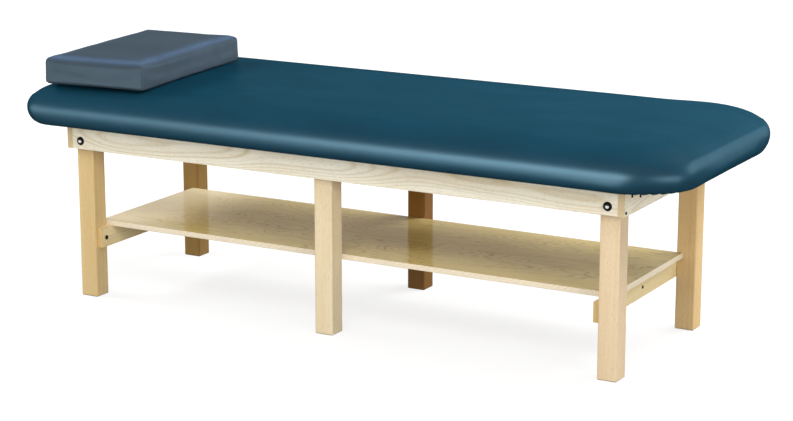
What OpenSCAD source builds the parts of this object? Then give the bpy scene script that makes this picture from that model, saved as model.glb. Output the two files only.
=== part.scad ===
// Padded chiropractic table: a maple frame on six legs, a storage shelf, a thick padded top and a loose pillow.
// All sizes are millimetres. X runs from the head end to the foot end, Y from the front to the rear, Z up.
// The origin is on the floor below the middle of the padded top.

/* [Frame] */
// Length of the frame over its two end boards
frame_l = 1707; // [1300:1:1780]
// Depth of the frame over its front and rear aprons
frame_w = 609; // [480:1:700]
// Height from the floor to the underside of the padded top
frame_h = 509; // [400:1:800]
// Thickness of the aprons, end boards and cleats
board_t = 18; // [15:0.5:24]
// Height of the aprons and end boards
apron_h = 75; // [70:1:110]
// Easing radius along the long edges of the boards
board_r = 1.5; // [0.5:0.1:3]
// Side of the square legs
leg_w = 55; // [45:1:70]
// Rounding of the upright edges of the legs
leg_r = 4; // [1:0.5:8]
// Chamfer round the foot of each leg
foot_c = 3; // [1:0.5:6]
// Distance of the middle legs from mid length, towards the head end
mid_leg_shift = 24; // [0:1:120]

/* [Cleats and cross rail] */
// Height of the cleats that hold the top
cleat_h = 50; // [40:1:65]
// Clear gap between the end of a cleat and the leg beside it
cleat_gap = 10; // [4:1:30]
// Diameter of the dowels that join the cross rail to the middle legs
dowel_d = 10; // [6:0.5:12]
// Length of those dowels
dowel_l = 50; // [30:1:60]
// Height between the two dowels of one joint
dowel_pitch = 36; // [24:1:50]

/* [Shelf] */
// Height of the shelf's upper face above the floor
shelf_z = 216; // [160:1:330]
// Thickness of the plywood shelf
shelf_t = 15; // [12:0.5:20]
// Gap between the shelf and each leg
shelf_gap = 1; // [0.5:0.1:3]
// Distance that the shelf runs past the outer face of each stretcher
shelf_past = 18; // [5:1:40]
// Thickness of the two stretchers and the rail under the shelf
stretcher_t = 18; // [15:0.5:24]
// Height of the stretchers and the rail
stretcher_h = 55; // [45:1:80]
// Distance from the outer side of a leg to the end of a stretcher
stretcher_back = 11; // [0:1:20]

/* [Padded top] */
// Thickness of the padded top in the middle
pad_t = 115; // [90:1:140]
// Distance that the padded top overhangs the frame at the head end
head_overhang = 103; // [80:1:200]
// Distance that it overhangs the frame at the foot end
foot_overhang = 170; // [80:1:250]
// Distance that it overhangs the frame at the front and the rear
side_overhang = 82.5; // [70:0.5:120]
// Length of a rounded corner at the foot end, along the table
foot_corner_l = 154; // [100:1:200]
// Width of a rounded corner at the foot end, across the table
foot_corner_w = 135; // [100:1:180]
// Radius of the two corners at the head end
head_corner_r = 40; // [25:1:80]
// Height of the widest line above the underside of the padded top
pad_waist = 45; // [35:1:55]
// Distance that the bottom edge is drawn in from the widest line
pad_bottom_in = 28; // [20:1:40]
// Distance over which the top edge rounds over
pad_top_in = 84; // [60:1:110]
// Rise of the top from its rounded edge to the middle
pad_crown = 3; // [2:0.5:8]
// Thickness of the plywood deck inside the padded top
deck_t = 18; // [12:0.5:22]
// Thickness of the vinyl cover with its backing cloth
cover_t = 2; // [1.5:0.1:3]
// Gap between the edge of the cover that is turned under the deck and the aprons
turn_gap = 14.5; // [5:0.5:30]

/* [Pillow] */
// Length of the pillow, across the table
pillow_l = 560; // [400:1:600]
// Width of the pillow, along the table
pillow_w = 322; // [250:1:360]
// Height of the pillow in the middle
pillow_h = 82; // [60:1:110]
// Angle at which the pillow lies on the top, in degrees
pillow_turn = 5; // [0:1:8]
// Distance from the head end of the padded top to the middle of the pillow
pillow_from_head = 208; // [190:1:400]
// Distance of the pillow's middle from the centre line, towards the front
pillow_to_front = 71; // [0:1:75]
// Radius of the pillow's upright corners
pillow_corner_r = 11; // [10:1:30]
// Rounding of the pillow's top edge
pillow_top_r = 16; // [12:1:32]
// Rounding of the pillow's bottom edge
pillow_bottom_r = 8; // [4:1:14]
// Rise of the pillow's top from its edge to the middle
pillow_crown = 4; // [2:1:12]
// Distance that the sides pull in between the corners
pillow_pull = 4; // [1:0.5:8]
// Length of the zip in the side at the head end
zip_l = 380; // [200:5:380]
// Width of the slit of the zip
zip_gap = 1.5; // [1:0.1:3]

/* [Fixings] */
// Shank diameter of the bolts that hold the aprons to the legs
bolt_d = 8; // [6:0.5:10]
// Height of these bolts below the top of the apron
bolt_drop = 51; // [40:1:54]
// Diameter of the black cup washers on the aprons
cup_d = 24; // [20:0.5:30]
// Height of the cup washers
cup_h = 4.5; // [3:0.1:7]
// Diameter of the domed bolt heads
dome_d = 13; // [11:0.5:15]
// Height of the domed bolt heads above their seat
dome_h = 5; // [3:0.1:6]
// Diameter of the heads of the black wood screws
screw_head_d = 9; // [7:0.5:11]
// Shank diameter of the wood screws
screw_d = 5; // [4:0.1:6]
// Diameter of the heads of the lag screws in the stretchers
lag_head_d = 13; // [11:0.5:15]
// Shank diameter of the lag screws
lag_d = 7; // [6:0.1:8]
// Length of a lag screw under its head
lag_l = 52; // [35:1:60]

/* [Hidden] */
$fn = 40;

// Overrun of every cut past the face that it opens
over = 2;
// Running clearance round a shank or dowel in its hole
hole_gap = 0.25;
// Clearance between soft pieces and what they lie against
soft_gap = 0.3;

// Padded top at its widest line, and the width of cover turned under the deck
pad_l = frame_l + head_overhang + foot_overhang;
pad_w = frame_w + 2 * side_overhang;
turn_under = side_overhang - pad_bottom_in - turn_gap;

// Places along X: frame ends, legs, stretchers
frame_x = head_overhang - pad_l / 2;
frame_end_x = frame_x + frame_l;
head_leg_x = frame_x + board_t;
foot_leg_x = frame_end_x - board_t - leg_w;
mid_leg_x = frame_x + frame_l / 2 - mid_leg_shift - leg_w / 2;
head_stretcher_x = head_leg_x + leg_w;
foot_stretcher_x = foot_leg_x - stretcher_t;

// Places along Y: outer face of the front apron, faces of the front legs
front_y = -frame_w / 2;
leg_y = front_y + board_t;
leg_inner_y = leg_y + leg_w;

// Heights
apron_z = frame_h - apron_h;
bolt_z = frame_h - bolt_drop;
cleat_z = frame_h - cleat_h;
pad_top_z = frame_h + pad_t;
shelf_under_z = shelf_z - shelf_t;
stretcher_z = shelf_under_z - stretcher_h;
lag_z = stretcher_z + stretcher_h / 2;

// Centre lines of the front legs, where their fixings go
head_leg_cx = head_leg_x + leg_w / 2;
foot_leg_cx = foot_leg_x + leg_w / 2;
mid_leg_cx = mid_leg_x + leg_w / 2;
leg_cy = leg_y + leg_w / 2;

// Domed bolts, their washers and nuts
cup_seat_h = 2;
cup_slope = 4;
cup_room = 0.6;
flat_washer_d = 20;
flat_washer_t = 1.6;
nut_h = 6.5;
nut_af = 13;
bolt_tip = 3;

// Wood screws and lag screws: heads, lengths and the depth that they bite
screw_head_h = 2.4;
screw_top_share = 0.6;
lag_head_h = 4;
lag_top_share = 0.72;
hole_room = 1;
end_screw_l = 45;
cleat_screw_l = 32;
rail_screw_l = 55;
mid_screw_bite = 11;
deck_bite = 13;
shelf_bite = 10;

// Screws of an end board: into the end of the apron, into the leg and into the cleat
apron_screw_drop = 65;
leg_screw_drop = 29;
end_cleat_screw_in = 98;
end_cleat_screw_drop = 39;
end_screws = [
    [front_y + board_t / 2, frame_h - apron_screw_drop, end_screw_l],
    [leg_cy, frame_h - leg_screw_drop, end_screw_l],
    [front_y + end_cleat_screw_in, frame_h - end_cleat_screw_drop, cleat_screw_l]
];

// Cross rail between the middle legs: its dowels, and the screws beside it that reach the apron
cross_rail_l = -2 * leg_inner_y;
dowel_zs = [for (s = [-1, 1]) frame_h - apron_h / 2 + s * dowel_pitch / 2];
mid_screw_x = mid_leg_cx + (leg_w + board_t) / 4;

// Cleats along the aprons, one in each bay between the legs, with their screws
cleat_starts = [head_leg_x + leg_w + cleat_gap, mid_leg_x + leg_w + cleat_gap];
cleat_ends = [mid_leg_x - cleat_gap, foot_leg_x - cleat_gap];
cleat_cy = front_y + board_t + board_t / 2;
cleat_screw_in = 60;
cleat_screw_drop = 25;
deck_screw_shift = 24;
cleat_screw_xs = [
    for (i = [0, 1])
        for (s = [0, 0.5, 1])
            cleat_starts[i] + cleat_screw_in + s * (cleat_ends[i] - cleat_starts[i] - 2 * cleat_screw_in)
];

// Cleats inside the end boards
end_cleat_y = leg_inner_y + cleat_gap;
end_cleat_l = -2 * end_cleat_y;
end_cleat_cx = frame_x + board_t + board_t / 2;
end_deck_screw_y_share = 0.25;

// Rail under the shelf
rail_l = foot_stretcher_x - head_stretcher_x - stretcher_t;
rail_screw_shares = [0.12, 0.5, 0.88];
rail_screw_xs = [for (s = rail_screw_shares) head_stretcher_x + stretcher_t + s * rail_l];

// Underside of the padded top's cover, its widest line, and the edge of the deck inside it
cover_z = frame_h - cover_t - soft_gap;
waist_z = frame_h + pad_waist;
deck_in = pad_bottom_in + 5 * cover_t;
spine_in = pad_w / 2 - max(foot_corner_w, head_corner_r) - pad_crown;

// The pillow's place, and where its crown is flat
pillow_x = pillow_from_head - pad_l / 2;
pillow_z = pad_top_z + soft_gap;
pillow_spine_in = pillow_w / 2 - pillow_corner_r - pillow_crown;

// Steps in the curves of the soft forms
corner_steps = 8;
pillow_corner_steps = 4;
side_steps = 4;
lower_steps = 4;
upper_steps = 6;
crown_steps = 3;

// Rectangle with rounded corners, from its lower left corner
module rounded_rect(w, h, r) {
    translate([r, 0]) square([w - 2 * r, h]);
    translate([0, r]) square([w, h - 2 * r]);
    for (x = [r, w - r], y = [r, h - r])
        translate([x, y]) circle(r);
}

// Board along X with eased long edges
module board_x(length, depth, height) {
    rotate([90, 0, 90])
        linear_extrude(length)
            rounded_rect(depth, height, board_r);
}

// Board along Y with eased long edges
module board_y(length, depth, height) {
    translate([0, length, 0])
        rotate([90, 0, 0])
            linear_extrude(length)
                rounded_rect(depth, height, board_r);
}

// Turns what points along +Z to point along +X, -X or -Y
module to_x() {
    rotate([0, 90, 0]) children();
}
module to_minus_x() {
    rotate([0, -90, 0]) children();
}
module to_minus_y() {
    rotate([90, 0, 0]) children();
}

// Hole for a shank that starts at z = 0 and runs up, with clearance round it and past both ends
module hole(d, length) {
    translate([0, 0, -over]) cylinder(d = d + 2 * hole_gap, h = length + hole_room + over);
}

// Screw with a low head below z = 0 and its shank above
module screw(length) {
    translate([0, 0, -screw_head_h])
        cylinder(d1 = screw_head_d * screw_top_share, d2 = screw_head_d, h = screw_head_h);
    cylinder(d = screw_d, h = length);
}

// Lag screw with a taller head
module lag_screw() {
    translate([0, 0, -lag_head_h])
        cylinder(d1 = lag_head_d * lag_top_share, d2 = lag_head_d, h = lag_head_h);
    cylinder(d = lag_d, h = lag_l);
}

// Child at the front and, mirrored, at the rear
module both_sides() {
    children();
    mirror([0, 1, 0]) children();
}

// Child moved from the head end of the frame to its foot end, mirrored
module at_foot_end() {
    translate([frame_x + frame_end_x, 0, 0]) mirror([1, 0, 0]) children();
}
module both_ends() {
    children();
    at_foot_end() children();
}

// Places of the fixings. Each puts its child where the shank leaves the face under the head
module at_apron_bolts() {
    for (x = [head_leg_cx, foot_leg_cx])
        translate([x, front_y, bolt_z]) rotate([-90, 0, 0]) children();
}
module at_mid_screws() {
    for (z = dowel_zs)
        translate([mid_screw_x, leg_inner_y, z]) to_minus_y() children();
}
module at_dowels() {
    for (z = dowel_zs)
        translate([mid_leg_cx, leg_inner_y + dowel_l / 2, z]) to_minus_y() children();
}
module at_cleat_screws() {
    for (x = cleat_screw_xs)
        translate([x, front_y + 2 * board_t, frame_h - cleat_screw_drop]) to_minus_y() children();
}
module at_side_deck_screws() {
    for (x = cleat_screw_xs)
        translate([x + deck_screw_shift, cleat_cy, cleat_z]) children();
}
module at_end_deck_screws() {
    for (s = [-1, 1])
        translate([end_cleat_cx, s * end_deck_screw_y_share * end_cleat_l, cleat_z]) children();
}
module at_lag_screws() {
    translate([head_stretcher_x + stretcher_t, leg_cy, lag_z]) to_minus_x() children();
}
module at_rail_screw() {
    translate([head_stretcher_x, 0, lag_z]) to_x() children();
}
module at_shelf_screws() {
    for (x = rail_screw_xs)
        translate([x, 0, stretcher_z]) children();
}
module end_screw_holes() {
    for (s = end_screws)
        translate([frame_x, s[0], s[1]]) to_x() hole(screw_d, s[2]);
}

// Apron: drilled for the bolts, for the screws from the end boards, and for those from the legs and cleats
module apron() {
    difference() {
        translate([frame_x + board_t, front_y, apron_z])
            board_x(frame_l - 2 * board_t, board_t, apron_h);
        at_apron_bolts() hole(bolt_d, board_t);
        both_ends() end_screw_holes();
        at_mid_screws() hole(screw_d, leg_w + mid_screw_bite);
        at_cleat_screws() hole(screw_d, cleat_screw_l);
    }
}

// End board, which caps the ends of both aprons
module end_board() {
    difference() {
        translate([frame_x, front_y, apron_z])
            board_y(frame_w, board_t, apron_h);
        both_sides() end_screw_holes();
    }
}

// Square leg with rounded edges and a chamfered foot, from its lower corner
module leg_post() {
    difference() {
        linear_extrude(frame_h) rounded_rect(leg_w, leg_w, leg_r);
        translate([leg_w / 2, leg_w / 2, 0])
            for (a = [0 : 90 : 270])
                rotate([0, 0, a])
                    translate([leg_w / 2 - foot_c, -leg_w, 0])
                        rotate([0, 45, 0]) cube([2 * foot_c, 2 * leg_w, 2 * foot_c]);
    }
}

// Corner leg: bolted to the apron, screwed from the end board, and drilled for the stretcher's lag screw
module corner_leg() {
    difference() {
        translate([head_leg_x, leg_y, 0]) leg_post();
        at_apron_bolts() hole(bolt_d, board_t + leg_w);
        end_screw_holes();
        at_lag_screws() hole(lag_d, lag_l);
    }
}

// Middle leg: screwed to the apron from inside, and dowelled to the cross rail
module middle_leg() {
    difference() {
        translate([mid_leg_x, leg_y, 0]) leg_post();
        at_mid_screws() hole(screw_d, leg_w + mid_screw_bite);
        at_dowels() hole(dowel_d, dowel_l);
    }
}

// Stretcher across the inner faces of two corner legs, flush under the shelf
module stretcher() {
    difference() {
        translate([head_stretcher_x, leg_y + stretcher_back, stretcher_z])
            board_y(-2 * (leg_y + stretcher_back), stretcher_t, stretcher_h);
        both_sides() at_lag_screws() hole(lag_d, lag_l);
        at_rail_screw() hole(screw_d, rail_screw_l);
    }
}

module front_apron() {
    color("#dfd3b4") apron();
}

module rear_apron() {
    color("#dfd3b4") mirror([0, 1, 0]) apron();
}

module head_end_board() {
    color("#d8bf8c") end_board();
}

module foot_end_board() {
    color("#d8bf8c") at_foot_end() end_board();
}

module leg_head_front() {
    color("#cdb580") corner_leg();
}

module leg_head_rear() {
    color("#b8975f") mirror([0, 1, 0]) corner_leg();
}

module leg_middle_front() {
    color("#dccba3") middle_leg();
}

module leg_middle_rear() {
    color("#b8975f") mirror([0, 1, 0]) middle_leg();
}

module leg_foot_front() {
    color("#e4cdac") at_foot_end() corner_leg();
}

module leg_foot_rear() {
    color("#c9aa70") at_foot_end() mirror([0, 1, 0]) corner_leg();
}

module head_stretcher() {
    color("#c8b070") stretcher();
}

module foot_stretcher() {
    color("#d9c78a") at_foot_end() stretcher();
}

// Plywood shelf that lies on the stretchers and the rail, between the front and rear legs
module shelf() {
    color("#cdbf9c")
        difference() {
            translate([head_stretcher_x - shelf_past, leg_inner_y + shelf_gap, shelf_under_z])
                board_x(rail_l + 2 * (stretcher_t + shelf_past), -2 * (leg_inner_y + shelf_gap), shelf_t);
            at_shelf_screws() hole(screw_d, stretcher_h + shelf_bite);
        }
}

// Rail along the middle of the shelf, from stretcher to stretcher
module shelf_rail() {
    color("#c8b070")
        difference() {
            translate([head_stretcher_x + stretcher_t, -stretcher_t / 2, stretcher_z])
                board_x(rail_l, stretcher_t, stretcher_h);
            both_ends() at_rail_screw() hole(screw_d, rail_screw_l);
            at_shelf_screws() hole(screw_d, stretcher_h);
        }
}

// Rail across the frame, from one middle leg to the other
module middle_cross_rail() {
    color("#c8b070")
        difference() {
            translate([mid_leg_cx - board_t / 2, leg_inner_y, apron_z])
                board_y(cross_rail_l, board_t, apron_h);
            both_sides() at_dowels() hole(dowel_d, dowel_l);
        }
}

// Pair of cleats along an apron, which carry the deck's screws
module side_cleats() {
    difference() {
        for (i = [0, 1])
            translate([cleat_starts[i], front_y + board_t, cleat_z])
                board_x(cleat_ends[i] - cleat_starts[i], board_t, cleat_h);
        at_cleat_screws() hole(screw_d, cleat_screw_l);
        at_side_deck_screws() hole(screw_d, cleat_h);
    }
}

module front_cleats() {
    color("#c8b070") side_cleats();
}

module rear_cleats() {
    color("#c8b070") mirror([0, 1, 0]) side_cleats();
}

// Cleat inside each end board
module end_cleats() {
    color("#c8b070")
        both_ends()
            difference() {
                translate([frame_x + board_t, end_cleat_y, cleat_z])
                    board_y(end_cleat_l, board_t, cleat_h);
                both_sides() end_screw_holes();
                at_end_deck_screws() hole(screw_d, cleat_h);
            }
}

// Dowels between the cross rail and the middle legs
module cross_rail_dowels() {
    color("#d9c79c") both_sides() at_dowels() cylinder(d = dowel_d, h = dowel_l);
}

// Domed bolts through the aprons and the corner legs
module apron_bolts() {
    length = board_t + leg_w + flat_washer_t + nut_h + bolt_tip;
    color("silver")
        both_sides() at_apron_bolts() {
            translate([0, 0, -cup_seat_h]) cylinder(d = bolt_d, h = length + cup_seat_h);
            translate([0, 0, -cup_seat_h])
                rotate_extrude()
                    intersection() {
                        dome_r = (dome_d * dome_d / 4 + dome_h * dome_h) / (2 * dome_h);
                        translate([0, dome_r - dome_h]) circle(dome_r);
                        translate([0, -dome_h]) square([dome_d / 2, dome_h]);
                    }
        }
}

// Black cup washers that the domed heads sit in
module cup_washers() {
    hole_r = bolt_d / 2 + hole_gap;
    room_r = dome_d / 2 + cup_room;
    color("#202022")
        both_sides() at_apron_bolts()
            rotate_extrude()
                polygon([
                    [hole_r, 0],
                    [hole_r, -cup_seat_h],
                    [room_r, -cup_seat_h],
                    [room_r, -cup_h],
                    [cup_d / 2 - cup_slope, -cup_h],
                    [cup_d / 2, -cup_h / 4],
                    [cup_d / 2, 0]
                ]);
}

// Flat washers under the nuts, on the inner faces of the corner legs
module nut_washers() {
    color("silver")
        both_sides() at_apron_bolts()
            translate([0, 0, board_t + leg_w])
                difference() {
                    cylinder(d = flat_washer_d, h = flat_washer_t);
                    hole(bolt_d, flat_washer_t);
                }
}

// Hexagon nuts on the ends of the bolts
module apron_nuts() {
    color("silver")
        both_sides() at_apron_bolts()
            translate([0, 0, board_t + leg_w + flat_washer_t])
                difference() {
                    cylinder(d = nut_af / cos(30), h = nut_h, $fn = 6);
                    hole(bolt_d, nut_h);
                }
}

// Black screws through the end boards
module end_board_screws() {
    color("#202022")
        both_ends() both_sides()
            for (s = end_screws)
                translate([frame_x, s[0], s[1]]) to_x() screw(s[2]);
}

// Screws through the middle legs into the aprons
module middle_leg_screws() {
    color("#9a9a98") both_sides() at_mid_screws() screw(leg_w + mid_screw_bite);
}

// Black lag screws through the stretchers into the corner legs
module stretcher_lag_screws() {
    color("#202022") both_ends() both_sides() at_lag_screws() lag_screw();
}

// Black screws through the stretchers into the ends of the rail
module rail_screws() {
    color("#202022") both_ends() at_rail_screw() screw(rail_screw_l);
}

// Screws up through the rail into the shelf
module shelf_screws() {
    color("#9a9a98") at_shelf_screws() screw(stretcher_h + shelf_bite);
}

// Screws through the side cleats into the aprons
module cleat_screws() {
    color("#9a9a98") both_sides() at_cleat_screws() screw(cleat_screw_l);
}

// Screws up through the cleats into the deck
module deck_screws() {
    color("#9a9a98") {
        both_sides() at_side_deck_screws() screw(cleat_h + deck_bite);
        both_ends() at_end_deck_screws() screw(cleat_h + deck_bite);
    }
}

// Corner of a ring: a quarter of an ellipse that starts at angle a, drawn counter-clockwise
function corner(centre, rx, ry, a, steps) = [
    for (i = [0 : steps])
        centre + [rx * cos(a + i * 90 / steps), ry * sin(a + i * 90 / steps)]
];

// Outline of the padded top, drawn in from its widest line; the corners keep their size
function pad_outline(in) =
    let (
        foot = [pad_l / 2 - in - foot_corner_l, pad_w / 2 - in - foot_corner_w],
        head = [in + head_corner_r - pad_l / 2, pad_w / 2 - in - head_corner_r],
        r = head_corner_r
    )
    concat(
        corner(foot, foot_corner_l, foot_corner_w, 0, corner_steps),
        corner(head, r, r, 90, corner_steps),
        corner([head[0], -head[1]], r, r, 180, corner_steps),
        corner([foot[0], -foot[1]], foot_corner_l, foot_corner_w, 270, corner_steps)
    );

// Section of the padded top from the middle of its crown to its bottom edge, as distance in and height.
// off is the depth below the outer surface
function pad_section(off) =
    let (upper_h = pad_top_z - pad_crown - off - waist_z, lower_h = waist_z - cover_z - off)
    concat(
        [for (i = [crown_steps : -1 : 1])
            let (u = i / crown_steps)
            [pad_top_in + u * (spine_in - pad_top_in), pad_top_z - off - pad_crown * pow(1 - u, 2)]],
        [for (i = [upper_steps : -1 : 1])
            let (a = i * 90 / upper_steps)
            [pad_top_in - (pad_top_in - off) * cos(a), waist_z + upper_h * sin(a)]],
        [for (i = [0 : lower_steps])
            let (a = i * 90 / lower_steps)
            [pad_bottom_in - (pad_bottom_in - off) * cos(a), waist_z - lower_h * sin(a)]]
    );

// Rings of the padded top's outline at each point of a section
function pad_rings(section) = [
    for (p = section)
        [for (q = pad_outline(p[0])) [q[0], q[1], p[1]]]
];

// Side of the pillow's outline between two corners, pulled in towards its middle
function pulled_side(p, q) = [
    for (i = [1 : side_steps - 1])
        let (s = i / side_steps, d = q - p, n = [-d[1], d[0]] / norm(d))
        p + s * d + n * pillow_pull * sin(180 * s)
];

// Outline of the pillow, drawn in from its side
function pillow_outline(in) =
    let (r = pillow_corner_r, x = pillow_w / 2 - in - r, y = pillow_l / 2 - in - r)
    concat(
        corner([x, y], r, r, 0, pillow_corner_steps),
        pulled_side([x, y + r], [-x, y + r]),
        corner([-x, y], r, r, 90, pillow_corner_steps),
        pulled_side([-x - r, y], [-x - r, -y]),
        corner([-x, -y], r, r, 180, pillow_corner_steps),
        pulled_side([-x, -y - r], [x, -y - r]),
        corner([x, -y], r, r, 270, pillow_corner_steps),
        pulled_side([x + r, -y], [x + r, y])
    );

// Section of the pillow from the middle of its crown to its bottom edge, as distance in and height
function pillow_section(off) =
    let (edge_z = pillow_h - pillow_crown)
    concat(
        [for (i = [crown_steps : -1 : 1])
            let (u = i / crown_steps)
            let (in = pillow_top_r + u * (pillow_spine_in - pillow_top_r))
            [in, pillow_h - off - pillow_crown * pow(1 - u, 2)]],
        [for (i = [lower_steps : -1 : 0])
            let (a = i * 90 / lower_steps, r = pillow_top_r, c = r - off)
            [r - c * cos(a), edge_z - r + c * sin(a)]],
        [for (i = [0 : lower_steps - 1])
            let (a = i * 90 / (lower_steps - 1), r = pillow_bottom_r, c = r - off)
            [r - c * cos(a), r - c * sin(a)]]
    );

// Rings of the pillow at each point of a section
function pillow_rings(section) = [
    for (p = section)
        [for (q = pillow_outline(p[0])) [q[0], q[1], p[1]]]
];

// Solid whose skin runs from ring to ring and closes over the first and the last
module skin(rings) {
    n = len(rings[0]);
    last = len(rings) - 1;
    points = [for (ring = rings) for (p = ring) p];
    sides = [
        for (i = [0 : last - 1])
            for (j = [0 : n - 1])
                let (a = i * n + j, b = i * n + (j + 1) % n)
                for (face = [[a, b, b + n], [a, b + n, a + n]])
                    face
    ];
    top = [[for (j = [n - 1 : -1 : 0]) j]];
    bottom = [[for (j = [0 : n - 1]) last * n + j]];
    polyhedron(points = points, faces = concat(top, sides, bottom), convexity = 6);
}

// Last entry of a list first
function reversed(list) = [for (i = [len(list) - 1 : -1 : 0]) list[i]];

// Plywood deck under the foam, drilled for the screws that hold it to the cleats
module deck() {
    color("#cdbf9c")
        difference() {
            translate([0, 0, frame_h]) linear_extrude(deck_t) polygon(pad_outline(deck_in));
            both_sides() at_side_deck_screws() hole(screw_d, cleat_h + deck_bite);
            both_ends() at_end_deck_screws() hole(screw_d, cleat_h + deck_bite);
        }
}

// Foam that covers the deck and wraps round its edge
module pad_foam() {
    section = concat(
        pad_section(cover_t + soft_gap),
        [[deck_in - soft_gap, frame_h], [deck_in - soft_gap, frame_h + deck_t + soft_gap]]
    );
    color("#e8dcae") skin(pad_rings(section));
}

// Vinyl cover pulled over the foam and turned under the deck
module pad_cover() {
    turned = [
        [pad_bottom_in + turn_under, cover_z],
        [pad_bottom_in + turn_under, cover_z + cover_t]
    ];
    color("#23566a") skin(pad_rings(concat(pad_section(0), turned, reversed(pad_section(cover_t)))));
}

// Child on the padded top where the pillow lies
module at_pillow() {
    translate([pillow_x, -pillow_to_front, pillow_z]) rotate([0, 0, pillow_turn]) children();
}

module pillow_foam() {
    color("#e8dcae") at_pillow() skin(pillow_rings(pillow_section(cover_t + soft_gap)));
}

// Vinyl cover sewn round the pillow's foam, with the slit of its zip in the side at the head end
module pillow_cover() {
    color("#4d5b6b")
        at_pillow()
            difference() {
                skin(pillow_rings(pillow_section(0)));
                skin(pillow_rings(pillow_section(cover_t)));
                translate([-pillow_w / 2 - over, -zip_l / 2, (pillow_h - zip_gap) / 2])
                    cube([pillow_pull + cover_t + 2 * over, zip_l, zip_gap]);
            }
}

front_apron();
rear_apron();
head_end_board();
foot_end_board();
leg_head_front();
leg_head_rear();
leg_middle_front();
leg_middle_rear();
leg_foot_front();
leg_foot_rear();
head_stretcher();
foot_stretcher();
shelf();
shelf_rail();
middle_cross_rail();
front_cleats();
rear_cleats();
end_cleats();
cross_rail_dowels();
apron_bolts();
cup_washers();
nut_washers();
apron_nuts();
end_board_screws();
middle_leg_screws();
stretcher_lag_screws();
rail_screws();
shelf_screws();
cleat_screws();
deck_screws();
deck();
pad_foam();
pad_cover();
pillow_foam();
pillow_cover();
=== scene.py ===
import math

import bmesh
import bpy
from mathutils import Matrix, Vector
from mathutils.bvhtree import BVHTree
from mathutils.kdtree import KDTree
from mathutils.noise import noise


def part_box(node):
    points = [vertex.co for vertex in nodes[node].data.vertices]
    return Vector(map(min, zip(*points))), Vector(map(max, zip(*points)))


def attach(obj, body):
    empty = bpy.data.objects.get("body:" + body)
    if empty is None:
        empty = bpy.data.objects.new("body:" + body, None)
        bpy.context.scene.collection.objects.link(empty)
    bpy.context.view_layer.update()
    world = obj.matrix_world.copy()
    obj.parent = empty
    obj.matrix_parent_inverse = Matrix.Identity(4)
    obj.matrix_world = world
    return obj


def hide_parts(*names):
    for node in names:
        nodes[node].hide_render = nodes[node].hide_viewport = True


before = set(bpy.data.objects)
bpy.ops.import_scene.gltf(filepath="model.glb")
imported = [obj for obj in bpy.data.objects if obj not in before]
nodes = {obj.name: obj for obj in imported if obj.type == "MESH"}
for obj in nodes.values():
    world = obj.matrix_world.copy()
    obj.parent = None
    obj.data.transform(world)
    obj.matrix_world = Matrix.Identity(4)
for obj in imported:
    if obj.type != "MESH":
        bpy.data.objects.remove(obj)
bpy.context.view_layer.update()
scene = bpy.context.scene


# Studio: a plain white floor that keeps the table's soft shadow, a white surround, softboxes
# that only light and blue-white reflectors that are only mirrored in the vinyl. The camera
# stands where the photograph was taken from.
camera_place = (2.8826, -5.1433, 1.7228)
camera_down = 13.645
camera_turn = 29.203
camera_lens = 99.408
film_width = 36
surround_on_object = 0.32
reflector_tint = (0.57, 0.84, 0.92)
floor_size = 40
floor_colour = 0.22
floor_shadow_reach = (1.1, 2.6)
floor_glow = (0.80, 1.05)


def placed(name, data):
    """A mesh, curve, lamp or camera as an object of the scene."""
    made = bpy.data.objects.new(name, data)
    scene.collection.objects.link(made)
    return made


camera_data = bpy.data.cameras.new("camera")
camera_data.lens = camera_lens
camera_data.sensor_width = film_width
camera_data.sensor_fit = "HORIZONTAL"
camera = placed("camera", camera_data)
camera.location = camera_place
camera.rotation_euler = (math.radians(90 - camera_down), 0, math.radians(camera_turn))
scene.camera = camera
scene.view_settings.view_transform = "Standard"
vinyl_pieces = bpy.data.collections.new("vinyl_pieces")


def sign(operation, swapped=False):
    """A sign of arithmetic between two values, as a Math node."""

    def apply(value, term):
        terms = (term, value) if swapped else (value, term)
        return value.wiring.sum(operation, *terms)

    return apply


class Value:
    """One output of a node. Plain arithmetic on it adds Math nodes."""

    __add__ = sign("ADD")
    __radd__ = sign("ADD", swapped=True)
    __sub__ = sign("SUBTRACT")
    __rsub__ = sign("SUBTRACT", swapped=True)
    __mul__ = sign("MULTIPLY")
    __rmul__ = sign("MULTIPLY", swapped=True)
    __truediv__ = sign("DIVIDE")
    __pow__ = sign("POWER")

    def __init__(self, wiring, socket):
        self.wiring = wiring
        self.socket = socket

    def other(self, output):
        """Another output of the same node."""
        return Value(self.wiring, self.socket.node.outputs[output])

    def maths(self, operation, *terms):
        """A Math node whose first term is this value."""
        return self.wiring.sum(operation, self, *terms)


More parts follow.
